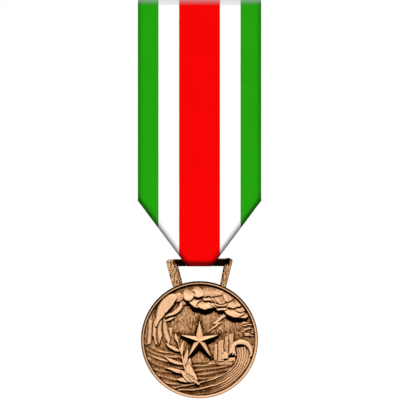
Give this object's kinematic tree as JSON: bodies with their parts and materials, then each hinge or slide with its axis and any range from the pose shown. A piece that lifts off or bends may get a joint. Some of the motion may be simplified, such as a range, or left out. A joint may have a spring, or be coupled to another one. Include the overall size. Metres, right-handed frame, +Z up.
{
  "type": "service medal with ribbon",
  "caption": "Round bronze medal on a trapezoid loop, hanging from a striped ribbon folded to a point, with a hinged pin and turning catch behind.",
  "frame": {"origin": "middle of the brooch needle's free round length, where the medal is held when worn", "axes": "+X along the needle towards its point, +Y out of the back towards the wearer (the front faces -Y), +Z up as the medal hangs"},
  "size_m": [0.035, 0.0068, 0.1136],
  "materials": {
    "bronze": "struck, patinated dark in the recesses and rubbed bright on the relief",
    "ribbon": "ribbed silk-like weave in green, white, red, white and green stripes",
    "buckram": "stiffened plain weave",
    "thread": "twisted sewing thread",
    "gilt_brass": "satin gilt",
    "needle_steel": "bright drawn wire"
  },
  "bodies": {
    "brooch": {"ribbon_head": "ribbon", "brooch_bar": "gilt_brass", "hinge_bracket": "gilt_brass", "hinge_rivet": "gilt_brass", "catch_bracket": "gilt_brass", "bracket_rivets": "gilt_brass"},
    "drape": {"ribbon_drape": "ribbon", "ribbon_stiffener": "buckram", "seam_stitches": "thread", "fold_stitches": "thread"},
    "medal": {"medal_disc": "bronze", "suspension_loop": "bronze"},
    "needle": {"pin_needle": "needle_steel"},
    "lock": {"catch_lock": "gilt_brass"}
  },
  "joints": [
    {"name": "drape_swing", "type": "hinge", "parent": "brooch", "child": "drape", "pos_m": [0, -0.005, -0.00585], "axis": [1, 0, 0], "range_deg": [-90, 8]},
    {"name": "medal_swing", "type": "hinge", "parent": "drape", "child": "medal", "pos_m": [0, -0.0037, -0.0698], "axis": [1, 0, 0], "range_deg": [-125, 125]},
    {"name": "needle_open", "type": "hinge", "parent": "brooch", "child": "needle", "pos_m": [-0.01205, 0, 0], "axis": [0, 0, 1], "range_deg": [0, 120]},
    {"name": "lock_turn", "type": "hinge", "parent": "brooch", "child": "lock", "pos_m": [0.01245, 0, 0], "axis": [1, 0, 0], "range_deg": [0, 120]}
  ]
}
